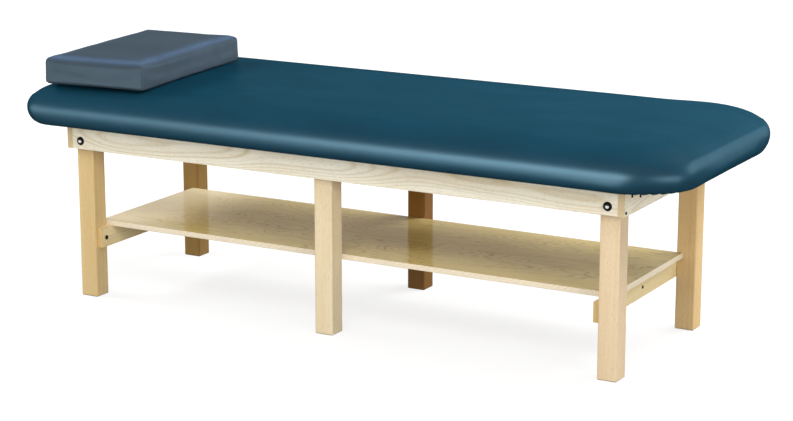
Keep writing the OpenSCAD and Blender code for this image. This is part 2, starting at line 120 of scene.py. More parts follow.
class Wiring:
    """A node tree and the one call that adds nodes to it."""

    def __init__(self, tree):
        self.tree = tree
        self.tree.nodes.clear()

    def node(self, kind, settings=None, inputs=None, output=0):
        """Adds a node: its settings first, then its sockets, and gives back one output."""
        made = self.tree.nodes.new(kind)
        for name, setting in (settings or {}).items():
            if name == "stops":
                self.set_stops(made.color_ramp, setting)
            else:
                setattr(made, name, setting)
        for name, value in (inputs or {}).items():
            if isinstance(value, Value):
                self.tree.links.new(value.socket, made.inputs[name])
            else:
                made.inputs[name].default_value = value
        return Value(self, made.outputs[output]) if len(made.outputs) else None

    def set_stops(self, ramp, stops):
        """Stops of a ramp as pairs of a place and a grey or a colour."""
        for i, (place, colour) in enumerate(stops):
            stop = ramp.elements[i] if i < 2 else ramp.elements.new(place)
            stop.position = place
            stop.color = colour if hasattr(colour, "__len__") else (colour, colour, colour, 1)

    def sum(self, operation, *terms):
        return self.node("ShaderNodeMath", {"operation": operation}, dict(enumerate(terms)))

    def blend(self, share, first, second):
        """Two colours mixed: sockets 6 and 7 and output 2 of the node are its colours."""
        inputs = {0: share, 6: first, 7: second}
        return self.node("ShaderNodeMix", {"data_type": "RGBA"}, inputs, output=2)

    def ramp(self, value, *stops):
        return self.node("ShaderNodeValToRGB", {"stops": stops}, {"Fac": value})


class Finish(Wiring):
    """The finish of one kind of surface, as a material."""

    def __init__(self, name):
        self.material = bpy.data.materials.new(name)
        self.material.use_nodes = True
        super().__init__(self.material.node_tree)
        self.place = self.node("ShaderNodeTexCoord", output="Object")
        split = self.node("ShaderNodeSeparateXYZ", {}, {"Vector": self.place})
        self.xyz = [split, split.other("Y"), split.other("Z")]

    def mottle(self, size, detail, seed, output=0):
        """Noise whose lumps are about the given size, one size or three, in metres."""
        size = size if hasattr(size, "__len__") else (size, size, size)
        moved = self.node("ShaderNodeMapping", {}, {
            "Vector": self.place, "Location": (seed, seed, seed), "Scale": [1 / s for s in size],
        })
        inputs = {"Vector": moved, "Scale": 1.0, "Detail": detail}
        return self.node("ShaderNodeTexNoise", {}, inputs, output)

    def years(self, count, seed, strength, least):
        """How strongly each year of growth shows, by the number of years from the heart."""
        inputs = {"W": count + seed, "Scale": 1.0}
        year = self.node("ShaderNodeTexNoise", {"noise_dimensions": "1D"}, inputs)
        return (year * strength - least).maths("MAXIMUM", 0.0)

    def facing(self, axis):
        """1 where the surface faces along an axis, 0 elsewhere."""
        split = self.node("ShaderNodeSeparateXYZ", {}, {"Vector": self.place.other("Normal")}, axis)
        return self.ramp(split.maths("ABSOLUTE"), (0.6, 0.0), (0.8, 1.0))

    def near_edge(self, low, high, width):
        """1 on the edges of a board that fills a box, 0 from a width away from them."""
        a, b, c = [
            (self.xyz[i] - low[i]).maths("MINIMUM", high[i] - self.xyz[i]) for i in range(3)
        ]
        gap = a.maths("MINIMUM", b).maths("MAXIMUM", a.maths("MAXIMUM", b).maths("MINIMUM", c))
        return (1 - gap / width).maths("MAXIMUM", 0.0)

    def gloss(self, most, fade):
        """How strong the clear coat is: most where it is looked at squarely, less at a low angle."""
        away = self.node("ShaderNodeLayerWeight", {}, {"Blend": 0.5}, "Facing")
        return (1 - away).maths("MAXIMUM", 0.0) ** fade * most

    def bump(self, height, depth):
        return self.node("ShaderNodeBump", {}, {"Height": height, "Distance": depth})

    def surface(self, inputs):
        shader = self.node("ShaderNodeBsdfPrincipled", {}, inputs)
        self.node("ShaderNodeOutputMaterial", {}, {"Surface": shader})
        return self.material


def colour(red, green, blue):
    """A colour given as it looks on screen, 0 to 255, for a shader."""
    levels = [c / 255 for c in (red, green, blue)]
    return [c / 12.92 if c < 0.04045 else ((c + 0.055) / 1.055) ** 2.4 for c in levels] + [1]


def scaled(tint, shares):
    """A colour with its red, green and blue each scaled."""
    return [c * share for c, share in zip(tint, shares)] + [1]


def seen_directly(wiring):
    """1 for what the camera sees, also mirrored or through glass, and 0 for what lights."""
    ray = wiring.node("ShaderNodeLightPath", output="Is Camera Ray")
    seen = ray + ray.other("Is Glossy Ray") + ray.other("Is Transmission Ray")
    return seen.maths("MINIMUM", 1.0)


WHITE = (1, 1, 1, 1)
world = bpy.data.worlds.new("surround")
world.use_nodes = True
scene.world = world
surround = Wiring(world.node_tree)
strength = surround_on_object + seen_directly(surround) * (1 - surround_on_object)
glow = surround.node("ShaderNodeBackground", {}, {"Color": WHITE, "Strength": strength})
surround.node("ShaderNodeOutputWorld", {}, {"Surface": glow})

paper = Finish("floor")
away = paper.node("ShaderNodeVectorMath", {"operation": "LENGTH"}, {0: paper.place}, "Value")
near, far = floor_shadow_reach
reach = ((away - near) / (far - near)).maths("MAXIMUM", 0.0).maths("MINIMUM", 1.0)
lift = (floor_glow[0] + reach * (floor_glow[1] - floor_glow[0])) * seen_directly(paper)
matt = paper.node("ShaderNodeBsdfDiffuse", {}, {"Color": [floor_colour] * 3 + [1]})
glow = paper.node("ShaderNodeEmission", {}, {"Color": WHITE, "Strength": lift})
both = paper.node("ShaderNodeAddShader", {}, {0: matt, 1: glow})
paper.node("ShaderNodeOutputMaterial", {}, {"Surface": both})

half = floor_size / 2
corners = [(-half, -half, 0), (half, -half, 0), (half, half, 0), (-half, half, 0)]
floor_mesh = bpy.data.meshes.new("floor")
floor_mesh.from_pydata(corners, [], [(0, 1, 2, 3)])
floor_mesh.materials.append(paper.material)
floor = placed("floor", floor_mesh)


def softbox(name, place, aim, width, height, level):
    """A softbox of an even level of brightness, turned to a point."""
    lamp = bpy.data.lights.new(name, "AREA")
    lamp.shape = "RECTANGLE"
    lamp.size = width
    lamp.size_y = height
    lamp.energy = level * width * height * math.pi
    box = placed(name, lamp)
    box.location = place
    box.rotation_euler = (Vector(aim) - Vector(place)).to_track_quat("-Z", "Y").to_euler()
    box.visible_camera = False
    box.visible_glossy = False
    return box


def reflector(name, place, aim, width, height, level):
    """A blue-white sheet that lights nothing and is mirrored in the vinyl alone."""
    sheet = softbox(name, place, aim, width, height, level)
    sheet.data.color = reflector_tint
    sheet.visible_diffuse = False
    sheet.visible_glossy = True
    sheet.light_linking.receiver_collection = vinyl_pieces


softbox("front_softbox", (-0.7, -3.4, 1.30), (0.0, 0.0, 0.45), 4.2, 1.9, 2.2)
softbox("top_softbox", (1.5, 1.5, 2.5), (0.6, 0.1, 0.6), 2.6, 1.4, 10.5)
softbox("side_softbox", (5.6, -2.9, 1.6), (0.2, 0.0, 0.35), 2.8, 2.8, 7.0)
softbox("high_softbox", (0.9, -2.4, 2.9), (0.3, -0.2, 0.4), 1.8, 1.0, 8.0)
softbox("head_softbox", (-3.0, -0.6, 2.15), (-0.75, 0.0, 0.25), 1.6, 0.8, 15.0)
reflector("head_floor", (-3.0, -2.5, 0.36), (-3.0, -2.2, 1.3), 4.2, 2.1, 29.0)
reflector("front_floor", (-0.20, -2.6, 0.24), (-0.20, -2.37, 1.2), 1.5, 2.2, 62.0)
reflector("foot_floor", (3.1, -1.3, 0.02), (3.1, -1.3, 1.0), 2.2, 2.4, 32.0)
reflector("foot_backdrop", (3.5, 2.8, 1.15), (1.0, 0.0, 0.6), 3.0, 2.5, 24.0)
reflector("rear_backdrop", (-1.8, 3.4, 0.8), (-1.8, 0.0, 0.6), 8.4, 1.5, 8.5)


# Legs: six square posts of solid hard maple, rounded along their edges and under a clear
# varnish. Each comes from another plank, so each has a tone and a run of grain of its own; the
# rear legs at the head and the middle are also painted darker, as painted shade under the top.
# The sizes of the wood's figure are across the grain and along it.
pore_colour = colour(150, 112, 70)
board_edge = 0.005
drift_size = (0.30, 0.75)
fibre_size = (0.0016, 0.11)
pore_size = (0.0005, 0.012)
pore_stops = ((0.70, 0.0), (0.78, 1.0))
cloud_size = (0.05, 0.45)
ring_stops = ((0.0, 0.30), (0.16, 0.02), (0.55, 0.08), (0.86, 0.95), (1.0, 0.30))
ring_years = 0.45
warm_shares = (0.90, 0.82, 0.70)
end_shares = (0.92, 0.80, 0.62)
clear_fade = 0.7


def timber(name, board, grain, heart, pale, late, seed, ring=0.0028, sway=0.022, figure=0.55):
    """Solid wood: rings round the heart of the log, which runs beside the board along its grain.

    board is the node whose box it fills, grain the axis that it runs along, heart the way from
    the board's middle to the heart across the grain, and sway how far the rings wander."""

    def sized(size):
        return [size[i == grain] for i in range(3)]

    finish = Finish(name)
    low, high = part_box(board)
    middle = (low + high) / 2
    across = [i for i in range(3) if i != grain]
    drift = finish.mottle(sized(drift_size), 1.5, seed, "Color")
    drift = finish.node("ShaderNodeSeparateXYZ", {}, {"Vector": drift})
    wander = [(drift - 0.5) * sway, (drift.other("Y") - 0.5) * sway]
    u, v = [finish.xyz[a] - (middle[a] + heart[i]) + wander[i] for i, a in enumerate(across)]
    radius = (u * u + v * v).maths("SQRT") / ring
    rings = finish.ramp(radius.maths("FRACT"), *ring_stops)
    late_wood = rings * finish.years(radius * ring_years, seed, 1.9, 0.35)
    fibre = finish.mottle(sized(fibre_size), 3.0, seed)
    pores = finish.ramp(finish.mottle(sized(pore_size), 0.0, seed), *pore_stops)
    cloud = finish.mottle(sized(cloud_size), 2.0, seed + 3)
    rim = finish.near_edge(low, high, board_edge)
    tone = finish.blend((cloud - 0.38) * 1.6, pale, scaled(pale, warm_shares))
    tone = finish.blend(late_wood * figure, tone, late)
    tone = finish.blend((fibre - 0.45) * 0.7, tone, late)
    tone = finish.blend(pores * 0.45, tone, pore_colour)
    tone = finish.blend(finish.facing(grain) * 0.62, tone, scaled(late, end_shares))
    tone = finish.blend(rim * 0.16, tone, late)
    relief = fibre * 0.5 - pores * 0.8 + late_wood * 0.3
    return finish.surface({
        "Base Color": tone,
        "Roughness": 0.30 + fibre * 0.16 + pores * 0.2 - rim * 0.06,
        "Specular IOR Level": 0.0,
        "Coat Weight": finish.gloss(most=0.30, fade=clear_fade),
        "Coat Roughness": 0.18,
        "Normal": finish.bump(relief, depth=0.00012),
    })


def paint(node, material):
    """Gives a node of the frame its finish."""
    if not nodes[node].material_slots:
        nodes[node].data.materials.append(material)
    for slot in nodes[node].material_slots:
        slot.material = material


leg_tones_and_shade = {
    "leg_head_front": ((220, 194, 143), (190, 154, 95), (0.085, 0.050), 1.3),
    # Painted shade: the head and middle rear legs have darker tones that stand partly for the shadow
    # under the top.
    "leg_head_rear": ((162, 130, 74), (124, 90, 44), (0.060, -0.078), 5.2),
    "leg_middle_front": ((235, 219, 186), (214, 186, 134), (-0.092, 0.061), 9.4),
    "leg_middle_rear": ((148, 106, 52), (106, 72, 32), (0.081, 0.044), 14.1),
    "leg_foot_front": ((229, 207, 172), (210, 178, 134), (-0.071, -0.066), 19.7),
    "leg_foot_rear": ((230, 199, 146), (190, 150, 96), (0.066, -0.070), 23.5),
}
for node, (pale, late, heart, seed) in leg_tones_and_shade.items():
    paint(node, timber(node + "_maple", node, 2, heart, colour(*pale), colour(*late), seed))


# Aprons and end boards: maple boards on edge, butted at the corners with the end boards
# outside, so that their end grain shows as a strip at each end of the aprons.
apron_pale = colour(253, 247, 228)
apron_late = colour(208, 184, 130)
apron_figure = {"ring": 0.0030, "sway": 0.060, "figure": 0.72}
for node, grain, heart, seed in (
    ("front_apron", 0, (0.085, 0.012), 31.4),
    ("rear_apron", 0, (-0.070, 0.020), 36.8),
    ("head_end_board", 1, (-0.080, 0.015), 41.2),
    ("foot_end_board", 1, (0.075, -0.020), 46.6),
):
    paint(node, timber(
        node + "_maple", node, grain, heart, apron_pale, apron_late, seed, **apron_figure
    ))


# Rails and cleats: plain maple and poplar sticks that tie the legs and carry the deck and the
# shelf, screwed, and for the middle cross rail dowelled, into the posts and boards.
rail_pale = colour(239, 221, 174)
rail_late = colour(206, 174, 114)
dowel_pale = colour(214, 178, 132)
dowel_late = colour(182, 138, 92)
for node, grain, heart, seed in (
    ("head_stretcher", 1, (0.070, 0.020), 51.1),
    ("foot_stretcher", 1, (-0.065, 0.030), 54.3),
    ("shelf_rail", 0, (0.060, 0.045), 57.9),
    ("middle_cross_rail", 1, (0.072, -0.030), 61.5),
    ("front_cleats", 0, (0.055, 0.050), 64.2),
    ("rear_cleats", 0, (-0.058, 0.048), 67.7),
    ("end_cleats", 1, (0.050, 0.062), 71.3),
):
    paint(node, timber(node + "_maple", node, grain, heart, rail_pale, rail_late, seed))
paint("cross_rail_dowels", timber(
    "dowel_beech", "cross_rail_dowels", 0, (0.03, 0.02), dowel_pale, dowel_late, 75.0
))


# Shelf and deck: birch plywood, with rotary-cut face veneers whose wide figure runs the long
# way, and crossed plies that show as light and dark bands along the sawn edges.
# Painted light: the shelf's face is painted paler towards its head end, standing in for light falling in
# from that side.
painted_light_tone = colour(236, 224, 200)
painted_light_reach = ((0.08, 1.0), (0.30, 0.0))
veneer_drift = (0.55, 0.17, 0.4)
veneer_ripple = (0.07, 0.022, 0.05)
veneer_ring = 0.0105
veneer_stops = ((0.0, 0.70), (0.12, 0.08), (0.50, 0.0), (0.80, 0.20), (1.0, 0.70))
veneer_years = 0.31
veneer_fibre = (0.075, 0.0011, 0.0011)
veneer_pore = (0.006, 0.0004, 0.0004)
veneer_pore_stops = ((0.69, 0.0), (0.77, 1.0))
veneer_cloud = (0.55, 0.16, 0.2)
veneer_warm = (0.88, 0.80, 0.66)
ply_stops = ((0.0, 0.0), (0.46, 0.0), (0.5, 1.0), (0.96, 1.0), (1.0, 0.0))
sawn_size = (0.004, 0.004, 0.0012)
ply_edge = 0.004


def plywood(name, board, plies, pale, late, edge_light, edge_dark, seed, shine, figure, painted_light_share=0.0):
    """Face veneers with a wide figure, painted paler towards one end as a painted pool of light falling
    in there, and banded edges.
    """
    finish = Finish(name)
    low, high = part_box(board)
    drift = finish.mottle(veneer_drift, 2.0, seed) - 0.5
    ripple = finish.mottle(veneer_ripple, 1.5, seed + 7) - 0.5
    height = (finish.xyz[1] * 0.55 + drift * 0.42 + ripple * 0.020) / veneer_ring
    bands = finish.ramp(height.maths("FRACT"), *veneer_stops)
    veins = bands * finish.years(height * veneer_years, seed, 2.2, 0.4)
    fibre = finish.mottle(veneer_fibre, 3.0, seed)
    pores = finish.ramp(finish.mottle(veneer_pore, 0.0, seed), *veneer_pore_stops)
    cloud = finish.mottle(veneer_cloud, 2.0, seed + 2)
    face = finish.blend((cloud - 0.4) * 1.5, pale, scaled(pale, veneer_warm))
    face = finish.blend(veins * figure, face, late)
    face = finish.blend((fibre - 0.45) * 0.55, face, late)
    # Painted light: the face is painted paler near the head end, where light falls in from that side.
    from_end = (finish.xyz[0] + drift * 0.30 - low[0]).maths("MAXIMUM", 0.0)
    face = finish.blend(finish.ramp(from_end, *painted_light_reach) * painted_light_share, face, painted_light_tone)
    face = finish.blend(pores * 0.4, face, pore_colour)
    ply = ((finish.xyz[2] - low[2]) * (plies / (high[2] - low[2])) * 0.5).maths("FRACT")
    layer = finish.ramp(ply, *ply_stops)
    sawn = finish.mottle(sawn_size, 3.0, seed + 5)
    edge = finish.blend(layer, edge_light, edge_dark)
    edge = finish.blend((sawn - 0.42) * 0.9, edge, pore_colour)
    flat = finish.facing("Z")
    rim = finish.near_edge(low, high, ply_edge)
    tone = finish.blend(flat, edge, face)
    tone = finish.blend(rim * flat * 0.25, tone, late)
    relief = fibre * 0.4 - pores * 0.6 - layer * (1 - flat)
    return finish.surface({
        "Base Color": tone,
        "Roughness": 0.50 + (fibre * 0.10 - 0.30) * flat + sawn * (1 - flat) * 0.2,
        "Specular IOR Level": 0.0,
        "Coat Weight": finish.gloss(most=shine, fade=clear_fade),
        "Coat Roughness": 0.11,
        "Normal": finish.bump(relief, depth=0.0001),
    })


paint("shelf", plywood(
    "shelf_birch", "shelf", 9, colour(219, 201, 138), colour(152, 118, 62),
    colour(250, 242, 222), colour(230, 208, 170), seed=81.3, shine=0.9, figure=0.85, painted_light_share=0.6,
))
paint("deck", plywood(
    "deck_ply", "deck", 11, colour(208, 184, 140), colour(166, 132, 88),
    colour(214, 192, 150), colour(178, 146, 102), seed=88.8, shine=0.0, figure=0.8,
))


# Bolts, washers and nuts: a domed bright bolt in a black cup washer through each corner of the
# aprons and the leg behind it, with a zinc-plated washer and nut on the inside.
blotch_size = 0.0035
blotch_shares = (0.72, 0.72, 0.72)
scratch_size = 0.0004
dust_colour = colour(120, 118, 112)


def metal(name, tint, rough, scratch, seed, metallic=1.0, dust=0.0, mirror=0.5):
    """Bare metal, or painted metal, plastic or thread where metallic is 0, blotched and scratched."""
    finish = Finish(name)
    blotch = finish.mottle(blotch_size, 3.0, seed)
    grain = finish.mottle(scratch_size, 2.0, seed + 4)
    tone = finish.blend((blotch - 0.35) * 1.2, tint, scaled(tint, blotch_shares))
    tone = finish.blend((grain - 0.55) * dust, tone, dust_colour)
    return finish.surface({
        "Base Color": tone,
        "Metallic": metallic,
        "Specular IOR Level": mirror,
        "Roughness": rough + (blotch - 0.5) * 0.18 + (grain - 0.5) * 0.1,
        "Normal": finish.bump(grain, scratch),
    })


black_steel = metal(
    "black_steel", colour(24, 24, 26), 0.40, 0.00002, 3.0, metallic=0.0, dust=0.06, mirror=0.08
)
bright_steel = metal("bright_steel", colour(218, 218, 214), 0.20, 0.00001, 6.0)
zinc_steel = metal("zinc_steel", colour(188, 190, 192), 0.34, 0.00002, 9.0)
paint("cup_washers", black_steel)
paint("apron_bolts", bright_steel)
for node in ("nut_washers", "apron_nuts"):
    paint(node, zinc_steel)


# Screws: pan-headed wood screws and larger lag screws, driven home with their cross recesses
# turned any way. Each stands where the frame has its plain screw, at the same size.
rim_share = 0.97
tail_reach = 0.001
dome_angles = (0, 0.35, 0.75, 1.15)


class Pattern(Wiring):
    """A tree of geometry nodes that sets copies of a shape, with named inputs."""

    def __init__(self, name):
        super().__init__(bpy.data.node_groups.new(name, "GeometryNodeTree"))
        self.keys = {}
        for label, kind in (
            ("Geometry", "NodeSocketGeometry"), ("Shape", "NodeSocketObject"),
            ("Finish", "NodeSocketMaterial"), ("Spacing", "NodeSocketFloat"),
            ("Turn", "NodeSocketFloat"), ("Seed", "NodeSocketInt"),
        ):
            socket = self.tree.interface.new_socket(label, in_out="INPUT", socket_type=kind)
            self.keys[label] = socket.identifier
        self.tree.interface.new_socket("Geometry", in_out="OUTPUT", socket_type="NodeSocketGeometry")
        self.given = self.node("NodeGroupInput", output="Geometry")

    def copies(self, points, stance):
        """Copies of the shape on the points, each turned a little about its own Z."""
        most = self.given.other("Turn")
        random = self.node(
            "FunctionNodeRandomValue", {"data_type": "FLOAT"},
            {2: -1 * most, 3: most, "Seed": self.given.other("Seed")}, 1,
        )
        spin = self.node("FunctionNodeAxisAngleToRotation", {}, {"Axis": (0, 0, 1), "Angle": random})
        stance = self.node(
            "FunctionNodeRotateRotation", {"rotation_space": "LOCAL"},
            {"Rotation": stance, "Rotate By": spin},
        )
        shape = self.node("GeometryNodeObjectInfo", {}, {"Object": self.given.other("Shape")}, "Geometry")
        inputs = {"Points": points, "Instance": shape, "Rotation": stance}
        set_out = self.node("GeometryNodeInstanceOnPoints", {}, inputs)
        real = self.node("GeometryNodeRealizeInstances", {}, {"Geometry": set_out})
        inputs = {"Geometry": real, "Material": self.given.other("Finish")}
        painted = self.node("GeometryNodeSetMaterial", {}, inputs)
        self.node("NodeGroupOutput", {}, {"Geometry": painted})


def worked_out(shape):
    """The mesh of an object as its modifiers leave it."""
    bpy.context.view_layer.update()
    ready = shape.evaluated_get(bpy.context.evaluated_depsgraph_get())
    return bpy.data.meshes.new_from_object(ready)


def grow(name, base, pattern, **values):
    """A piece made by a pattern on a base mesh: a plain mesh, with no modifier left on it."""
    seedbed = placed(name + "_base", base)
    modifier = seedbed.modifiers.new("pattern", "NODES")
    modifier.node_group = pattern.tree
    for label, value in values.items():
        modifier[pattern.keys[label]] = value
    piece = placed(name, worked_out(seedbed))
    bpy.data.objects.remove(seedbed)
    return piece


at_places = Pattern("set_at_places")
way = at_places.node(
    "GeometryNodeInputNamedAttribute", {"data_type": "FLOAT_VECTOR"}, {"Name": "facing"}
)
upright = at_places.node("FunctionNodeAlignRotationToVector", {"axis": "Z"}, {"Vector": way})
at_places.copies(at_places.given, upright)


def solids_of(node):
    """The loose solids of a node in the order of its points, each as a list of points."""
    body = bmesh.new()
    body.from_mesh(nodes[node].data)
    bmesh.ops.remove_doubles(body, verts=body.verts, dist=1e-5)
    found, solids = set(), []
    for start in body.verts:
        group, edge = [], [start]
        while edge:
            point = edge.pop()
            if point not in found:
                found.add(point)
                group.append(point.co.copy())
                edge += [link.other_vert(point) for link in point.link_edges]
        if group:
            solids.append(group)
    body.free()
    return solids


def screw_facts(points):
    """Seat, way that the head faces, head radius and height, shank radius and length."""
    low = Vector([min(p[i] for p in points) for i in range(3)])
    high = Vector([max(p[i] for p in points) for i in range(3)])
    axis = max(range(3), key=lambda i: high[i] - low[i])
    across = [i for i in range(3) if i != axis]
    middle = (low + high) / 2

    def off_axis(p):
        return math.dist([p[i] for i in across], [middle[i] for i in across])

    head_r = max(off_axis(p) for p in points)
    rim = [p[axis] for p in points if off_axis(p) > rim_share * head_r]
    sign_out = 1 if max(rim) > middle[axis] else -1
    seat, top = (max(rim), high[axis]) if sign_out > 0 else (min(rim), low[axis])
    tail = low[axis] if sign_out > 0 else high[axis]
    shank_r = max(off_axis(p) for p in points if abs(p[axis] - tail) < tail_reach)
    place, facing = middle.copy(), Vector((0, 0, 0))
    place[axis], facing[axis] = seat, sign_out
    return place, facing, head_r, abs(top - seat), shank_r, abs(seat - tail)


def shaped(name, body):
    """The object of a mesh that was made point by point."""
    mesh = bpy.data.meshes.new(name)
    body.to_mesh(mesh)
    body.free()
    return placed(name, mesh)


def turned(name, profile, steps):
    """A shape turned about Z from a profile of radius and height, closed at both ends."""
    body = bmesh.new()
    points = [body.verts.new((r, 0, z)) for r, z in profile]
    edges = [body.edges.new(pair) for pair in zip(points, points[1:])]
    bmesh.ops.spin(
        body, geom=points + edges, cent=(0, 0, 0), axis=(0, 0, 1), steps=steps, angle=2 * math.pi
    )
    bmesh.ops.remove_doubles(body, verts=body.verts, dist=1e-6)
    bmesh.ops.recalc_face_normals(body, faces=body.faces)
    return shaped(name, body)


def screw_shape(head_r, head_h, shank_r, length):
    """A screw with its seat at zero and its head up: a low dome with a cross recess."""
    dome = [(head_r * math.cos(a), head_h * (0.25 + 0.75 * math.sin(a))) for a in dome_angles]
    profile = [(0, -length), (shank_r, -length), (shank_r, 0), (head_r, 0), *dome, (0, head_h)]
    shape = turned("screw", profile, steps=24)
    slot_w, slot_l, slot_d = head_r * 0.26, head_r * 1.15, head_h * 0.75
    cutter = bmesh.new()
    for wide, deep in ((slot_w, slot_l), (slot_l, slot_w)):
        box = bmesh.ops.create_cube(cutter, size=1)["verts"]
        bmesh.ops.scale(cutter, vec=(wide, deep, 2 * slot_d), verts=box)
        bmesh.ops.translate(cutter, vec=(0, 0, head_h), verts=box)
    cross = shaped("cross", cutter)
    cut = shape.modifiers.new("cut", "BOOLEAN")
    cut.object = cross
    cut.solver = "EXACT"
    cut.use_self = True
    shape.data = worked_out(shape)
    shape.modifiers.clear()
    bpy.data.objects.remove(cross)
    return shape


def dotted(name, places, facings):
    """A mesh of loose points, each with the way that its copy faces."""
    mesh = bpy.data.meshes.new(name)
    mesh.from_pydata(places, [], [])
    way = mesh.attributes.new("facing", "FLOAT_VECTOR", "POINT")
    way.data.foreach_set("vector", [c for f in facings for c in f])
    return mesh


black_screws = ("end_board_screws", "stretcher_lag_screws", "rail_screws")
zinc_screws = ("middle_leg_screws", "shelf_screws", "cleat_screws", "deck_screws")
for seed, node in enumerate(black_screws + zinc_screws):
    steel, slot = (black_steel, "black_steel") if node in black_screws else (zinc_steel, "zinc_steel")
    facts = [screw_facts(points) for points in solids_of(node)]
    shape = screw_shape(*facts[0][2:])
    base = dotted(node + "_places", [f[0] for f in facts], [f[1] for f in facts])
    screws = grow(
        node + "_driven", base, at_places, Shape=shape, Finish=steel, Turn=math.pi, Seed=seed
    )
    bpy.data.objects.remove(shape)
    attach(screws, "table")
    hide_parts(node)


# Padded top: one sheet of supported vinyl, pulled over the foam that wraps the deck, turned
# under it and stapled. It has a bull-nosed edge, small corners at the head and big ones at
# the foot. The cloth simulation settles it over the foam.
pad_low, pad_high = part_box("pad_cover")
foot_corner = (0.154, 0.135)
head_corner = (0.040, 0.040)
pad_waist = 0.0473
pad_bottom_in = 0.028
pad_top_in = 0.084
pad_crown = 0.003
pad_turned_under = 0.040
vinyl_t = 0.0012
pad_slack = 0.0025
pad_step = 0.008
pad_cloth_step = 0.016
# Rings of points on the turned edge, the lower rounding and the upper one
pad_rings = (8, 10, 18)
pad_cloth_rings = (3, 4, 7)
pad_settle = 0.003
cloth_settings = {
    "quality": 5, "mass": 0.4, "tension_stiffness": 60, "compression_stiffness": 60,
    "shear_stiffness": 25, "bending_stiffness": 4, "use_pressure": True,
    "uniform_pressure_force": 3.0,
}


def arc(middle, radii, start, turn, steps):
    """Points along part of an ellipse, without the last. Angles are in degrees."""
    return [
        (middle[0] + radii[0] * math.cos(math.radians(start + turn * i / steps)),
         middle[1] + radii[1] * math.sin(math.radians(start + turn * i / steps)))
        for i in range(steps)
    ]


def straight(first, last, steps):
    return [
        (first[0] + (last[0] - first[0]) * i / steps, first[1] + (last[1] - first[1]) * i / steps)
        for i in range(steps)
    ]


def pad_ring(inset, z, step):
    """Outline of the top, drawn in from its widest line. Its corners keep their size."""
    x, y = pad_high.x - inset, pad_high.y - inset
    a = (x - foot_corner[0], y - foot_corner[1])
    b = (x - head_corner[0], y - head_corner[1])
    foot_steps, head_steps, foot_side, head_side, long_side = pad_counts(step)
    flat = (
        arc((a[0], -a[1]), foot_corner, -45, 45, foot_steps)
        + straight((x, -a[1]), (x, a[1]), foot_side)
        + arc(a, foot_corner, 0, 90, 2 * foot_steps)
        + straight((a[0], y), (-b[0], y), long_side)
        + arc((-b[0], b[1]), head_corner, 90, 90, 2 * head_steps)
        + straight((-x, b[1]), (-x, -b[1]), head_side)
        + arc((-b[0], -b[1]), head_corner, 180, 90, 2 * head_steps)
        + straight((-b[0], -y), (a[0], -y), long_side)
        + arc((a[0], -a[1]), foot_corner, 270, 45, foot_steps)
    )
    return [Vector((p[0], p[1], z)) for p in flat]


def pad_counts(step):
    """Steps of the outline: half a corner at the foot and the head, then the three kinds of side."""
    foot_steps = round(math.pi / 8 * (foot_corner[0] + foot_corner[1]) / step)
    head_steps = max(3, round(math.pi / 4 * head_corner[0] / step))
    foot_side = round((pad_high.y - pad_low.y - 2 * foot_corner[1]) / step)
    long_side = round((pad_high.x - pad_low.x - foot_corner[0] - head_corner[0]) / step)
    return foot_steps, head_steps, foot_side, foot_side + 2 * (foot_steps - head_steps), long_side


def loft(body, rings):
    """Faces from ring to ring. Gives back the points of each ring."""
    made = [[body.verts.new(p) for p in ring] for ring in rings]
    for lower, upper in zip(made, made[1:]):
        for j in range(len(lower)):
            k = (j + 1) % len(lower)
            body.faces.new((lower[j], lower[k], upper[k], upper[j]))
    return made


def fill(body, ring, short, long, crown):
    """Closes a ring with a grid of faces that rises to a crown. short and long are its sides' steps."""
    marks = [0, short, short + long, 2 * short + long, 2 * (short + long)]
    sides = [[ring[i % len(ring)] for i in range(marks[k], marks[k + 1] + 1)] for k in range(4)]
    start, left, end, right = sides[0], sides[1], sides[2][::-1], sides[3][::-1]
    grid = {}
    for i in range(short + 1):
        for j in range(long + 1):
            s, t = i / short, j / long
            if i in (0, short):
                grid[i, j] = (right if i == 0 else left)[j]
            elif j in (0, long):
                grid[i, j] = (start if j == 0 else end)[i]
            else:
                place = (
                    right[j].co * (1 - s) + left[j].co * s + start[i].co * (1 - t) + end[i].co * t
                    - (start[0].co * (1 - s) + start[-1].co * s) * (1 - t)
                    - (end[0].co * (1 - s) + end[-1].co * s) * t
                )
                rise = (1 - (2 * s - 1) ** 4) * (1 - (2 * t - 1) ** 4)
                grid[i, j] = body.verts.new(place + Vector((0, 0, crown * rise)))
    for i in range(short):
        for j in range(long):
            corners = (grid[i, j], grid[i + 1, j], grid[i + 1, j + 1], grid[i, j + 1])
            body.faces.new(corners)


def quarter(first, last, start, steps):
    """A quarter of an ellipse between two points of a section, as inset and height."""
    places = []
    for i in range(1, steps + 1):
        a = math.radians(90 * i / steps)
        u, v = (math.sin(a), 1 - math.cos(a)) if start == "flat" else (1 - math.cos(a), math.sin(a))
        places.append((first[0] + (last[0] - first[0]) * u, first[1] + (last[1] - first[1]) * v))
    return places


def settle(shape, held, most, frames=20):
    """Lets a coarse cover settle under pressure from inside, the held points least of all.

    Gives back where its points began and how far each has moved, which is never more than most."""
    group = shape.vertex_groups.new(name="held")
    for index, share in held.items():
        group.add([index], share, "REPLACE")
    before = [v.co.copy() for v in shape.data.vertices]
    cloth = shape.modifiers.new("cloth", "CLOTH")
    for setting, value in cloth_settings.items():
        setattr(cloth.settings, setting, value)
    cloth.settings.effector_weights.gravity = 0
    cloth.settings.vertex_group_mass = "held"
    cloth.collision_settings.use_self_collision = False
    for number in range(1, frames + 1):
        scene.frame_set(number)
    ready = shape.evaluated_get(bpy.context.evaluated_depsgraph_get())
    moves = [v.co - start for v, start in zip(ready.data.vertices, before)]
    scene.frame_set(1)
    bpy.data.objects.remove(shape)
    for move in moves:
        if move.length > 0:
            move *= most * math.tanh(move.length / most) / move.length
    return before, moves


